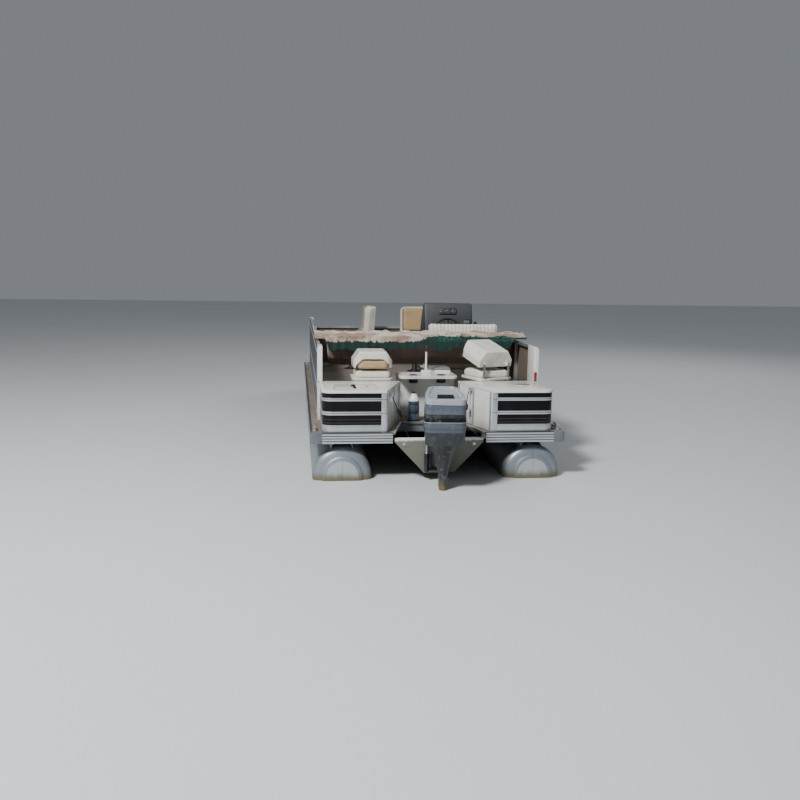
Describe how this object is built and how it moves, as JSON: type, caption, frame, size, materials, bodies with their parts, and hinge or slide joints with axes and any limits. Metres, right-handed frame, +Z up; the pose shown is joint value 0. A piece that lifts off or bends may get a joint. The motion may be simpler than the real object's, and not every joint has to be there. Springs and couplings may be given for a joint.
{
  "type": "pontoon boat",
  "caption": "Pontoon boat: two round floats under a flat fenced deck, swivel fishing chairs, helm console, folded canopy and an outboard motor on a stern pod.",
  "frame": {"origin": "on the centreline, half way along the deck, at the water's surface", "axes": "+X to starboard, +Y towards the bow, +Z up"},
  "size_m": [2.44, 6.8562, 2.013],
  "materials": {
    "mill_aluminium": "satin",
    "bright_aluminium": "satin",
    "painted_transom": "satin",
    "deck_carpet": "matt",
    "white_moulding": "semi-gloss",
    "black_panel": "gloss",
    "grey_moulding": "satin",
    "black_plastic": "satin",
    "white_vinyl": "satin",
    "black_metal": "satin",
    "lamp_white": "gloss",
    "blue_bottle": "gloss",
    "hose_rubber": "matt",
    "canvas": "matt",
    "motor_black": "satin",
    "motor_grey": "gloss",
    "cast_engine": "matt",
    "motor_dark": "satin",
    "propeller_metal": "satin",
    "chair_shell": "satin",
    "chair_vinyl": "satin"
  },
  "bodies": {
    "hull": {"log_port": "mill_aluminium", "log_starboard": "mill_aluminium", "log_risers": "mill_aluminium", "cross_members": "mill_aluminium", "transom_pod": "painted_transom", "deck_board": "deck_carpet", "deck_rail": "bright_aluminium", "corner_caps": "bright_aluminium", "stern_boxes": "white_moulding", "box_tops": "white_moulding", "side_panels": "black_panel", "side_trim": "bright_aluminium", "well_station": "white_moulding", "fence_frame": "bright_aluminium", "fence_ends": "white_moulding", "console_cabinet": "grey_moulding", "console_dash": "black_plastic", "steering_column": "black_plastic", "control_box": "black_plastic", "bench_base": "white_moulding", "bench_seat_pad": "white_vinyl", "bench_back_pad": "white_vinyl", "chair_posts": "black_metal", "stern_light": "lamp_white", "oil_bottle": "blue_bottle", "fittings": "bright_aluminium", "fuel_line_port": "hose_rubber", "fuel_line_starboard": "hose_rubber", "motor_clamp": "motor_black"},
    "box_lid": {"box_lid": "white_moulding"},
    "livewell_lid": {"livewell_lid": "grey_moulding"},
    "gate_bow": {"gate_bow": "black_panel"},
    "gate_port": {"gate_port": "black_panel"},
    "steering_wheel": {"steering_wheel": "black_plastic"},
    "canopy": {"canopy_frame": "bright_aluminium", "canopy_cloth": "canvas"},
    "motor_swivel": {"motor_swivel": "motor_black"},
    "motor": {"cowl_top": "motor_grey", "cowl_pan": "motor_grey", "engine_block": "cast_engine", "motor_leg": "motor_dark"},
    "propeller": {"propeller": "propeller_metal"},
    "chair_aft_port": {"chair_aft_port_shell": "chair_shell", "chair_aft_port_pad": "chair_vinyl"},
    "chair_aft_port_back": {"chair_aft_port_back": "chair_shell", "chair_aft_port_back_pad": "chair_vinyl"},
    "chair_aft_starboard": {"chair_aft_starboard_shell": "chair_shell", "chair_aft_starboard_pad": "chair_vinyl"},
    "chair_aft_starboard_back": {"chair_aft_starboard_back": "chair_shell", "chair_aft_starboard_back_pad": "chair_vinyl"},
    "chair_bow_port": {"chair_bow_port_shell": "chair_shell", "chair_bow_port_pad": "chair_vinyl"},
    "chair_bow_port_back": {"chair_bow_port_back": "chair_shell", "chair_bow_port_back_pad": "chair_vinyl"},
    "chair_bow_starboard": {"chair_bow_starboard_shell": "chair_shell", "chair_bow_starboard_pad": "chair_vinyl"},
    "chair_bow_starboard_back": {"chair_bow_starboard_back": "chair_shell", "chair_bow_starboard_back_pad": "chair_vinyl"}
  },
  "joints": [
    {"name": "motor_tilt", "type": "hinge", "parent": "hull", "child": "motor_swivel", "pos_m": [0, -3.08, 0.418], "axis": [-1, 0, 0], "range_deg": [0, 65]},
    {"name": "motor_steer", "type": "hinge", "parent": "motor_swivel", "child": "motor", "pos_m": [0, -3.15, 0.26], "axis": [0, 0, 1], "range_deg": [-24.5, 35.5]},
    {"name": "propeller_spin", "type": "hinge", "parent": "motor", "child": "propeller", "pos_m": [-0.03594, -3.52327, -0.275], "axis": [0.0958, 0.9954, 0], "continuous": true},
    {"name": "wheel_turn", "type": "hinge", "parent": "hull", "child": "steering_wheel", "pos_m": [0.57, -0.16745, 1.2], "axis": [0, -0.9563, 0.2924], "range_deg": [-639, 441]},
    {"name": "box_lid_open", "type": "hinge", "parent": "hull", "child": "box_lid", "pos_m": [-0.78, -2.5475, 0.862], "axis": [-1, 0, 0], "range_deg": [0, 90]},
    {"name": "livewell_lid_open", "type": "hinge", "parent": "hull", "child": "livewell_lid", "pos_m": [0.178, -1.947, 0.928], "axis": [1, 0, 0], "range_deg": [0, 90]},
    {"name": "gate_bow_open", "type": "hinge", "parent": "hull", "child": "gate_bow", "pos_m": [-0.334, 2.704, 0.77], "axis": [0, 0, 1], "range_deg": [0, 90]},
    {"name": "gate_port_open", "type": "hinge", "parent": "hull", "child": "gate_port", "pos_m": [-1.096, 0.904, 0.84], "axis": [0, 0, 1], "range_deg": [0, 90]},
    {"name": "canopy_swing", "type": "hinge", "parent": "hull", "child": "canopy", "pos_m": [0, -0.15, 1.25], "axis": [-1, 0, 0], "range_deg": [0, 80]},
    {"name": "swivel_aft_port", "type": "hinge", "parent": "hull", "child": "chair_aft_port", "pos_m": [-0.575, -2.115, 0.87], "axis": [0, 0, 1], "continuous": true},
    {"name": "recline_aft_port", "type": "hinge", "parent": "chair_aft_port", "child": "chair_aft_port_back", "pos_m": [-0.575, -1.925, 1.016], "axis": [-1, 0, 0], "range_deg": [0, 94]},
    {"name": "swivel_aft_starboard", "type": "hinge", "parent": "hull", "child": "chair_aft_starboard", "pos_m": [0.64, -2.115, 0.87], "axis": [0, 0, 1], "continuous": true},
    {"name": "recline_aft_starboard", "type": "hinge", "parent": "chair_aft_starboard", "child": "chair_aft_starboard_back", "pos_m": [0.70498, -2.29354, 1.016], "axis": [0.9397, 0.342, 0], "range_deg": [-15, 79]},
    {"name": "swivel_bow_port", "type": "hinge", "parent": "hull", "child": "chair_bow_port", "pos_m": [-0.5, 2.18, 0.87], "axis": [0, 0, 1], "continuous": true},
    {"name": "recline_bow_port", "type": "hinge", "parent": "chair_bow_port", "child": "chair_bow_port_back", "pos_m": [-0.31, 2.18, 1.016], "axis": [0, 1, 0], "range_deg": [-94, 0]},
    {"name": "swivel_bow_starboard", "type": "hinge", "parent": "hull", "child": "chair_bow_starboard", "pos_m": [0.43, 1.85, 0.87], "axis": [0, 0, 1], "continuous": true},
    {"name": "recline_bow_starboard", "type": "hinge", "parent": "chair_bow_starboard", "child": "chair_bow_starboard_back", "pos_m": [0.43, 2.04, 1.016], "axis": [-1, 0, 0], "range_deg": [-94, 0]}
  ],
  "couplings": [
    {"joint": "wheel_turn", "follows": "motor_steer", "ratio": -18}
  ]
}
